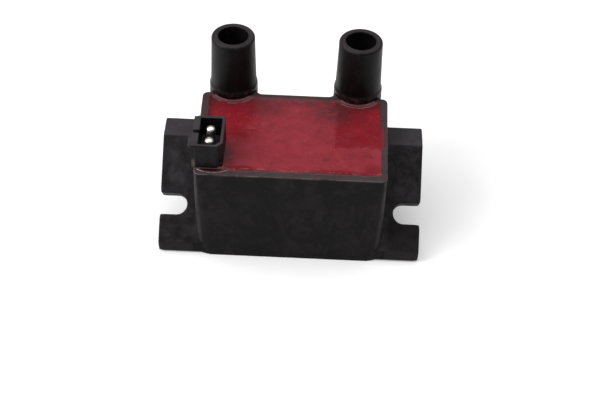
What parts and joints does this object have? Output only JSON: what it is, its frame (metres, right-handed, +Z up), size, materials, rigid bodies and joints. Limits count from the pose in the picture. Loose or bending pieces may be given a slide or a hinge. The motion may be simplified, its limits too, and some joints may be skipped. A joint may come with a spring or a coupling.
{
  "type": "ignition coil",
  "caption": "Potted ignition coil in an open moulded case with slotted slanted wings, two upright high-voltage towers and a round-pin connector socket.",
  "frame": {"origin": "middle of the footprint, at the height of the case's flat underside", "axes": "+X to the right along the mounting wings, +Y to the back where the high-voltage towers stand, +Z up along the towers"},
  "size_m": [0.1032, 0.064, 0.0678],
  "materials": {
    "black_plastic": "fine moulded black, dusty and lightly scuffed",
    "red_resin": "cast dark red epoxy, glossy in places and hazed in others",
    "tinned_pin": "tinned, rounded and slightly worn",
    "brass_contact": "turned brass",
    "core_steel": "stacked electrical steel laminations",
    "gap_spacer": "pressed insulating board",
    "bobbin_plastic": "natural moulded thermoplastic",
    "copper_wire": "enamelled copper winding",
    "sleeve_film": "amber insulating film",
    "lead_cover": "sleeved lead wire"
  },
  "bodies": {
    "root": {"case": "black_plastic", "potting_resin": "red_resin", "connector_housing": "black_plastic", "connector_pin_front": "tinned_pin", "connector_pin_rear": "tinned_pin", "hv_tower_left": "black_plastic", "hv_tower_right": "black_plastic", "hv_terminal_left": "brass_contact", "hv_terminal_right": "brass_contact", "core_e_stack": "core_steel", "core_i_stack": "core_steel", "air_gap_spacer": "gap_spacer", "primary_bobbin": "bobbin_plastic", "primary_winding": "copper_wire", "insulation_sleeve": "sleeve_film", "secondary_bobbin": "bobbin_plastic", "secondary_winding_1": "copper_wire", "secondary_winding_2": "copper_wire", "secondary_winding_3": "copper_wire", "secondary_winding_4": "copper_wire", "secondary_winding_5": "copper_wire", "secondary_winding_6": "copper_wire", "primary_tag_front": "brass_contact", "primary_tag_rear": "brass_contact", "primary_lead_front": "lead_cover", "primary_lead_rear": "lead_cover", "ht_lead_left": "lead_cover", "ht_lead_right": "lead_cover"}
  },
  "joints": []
}
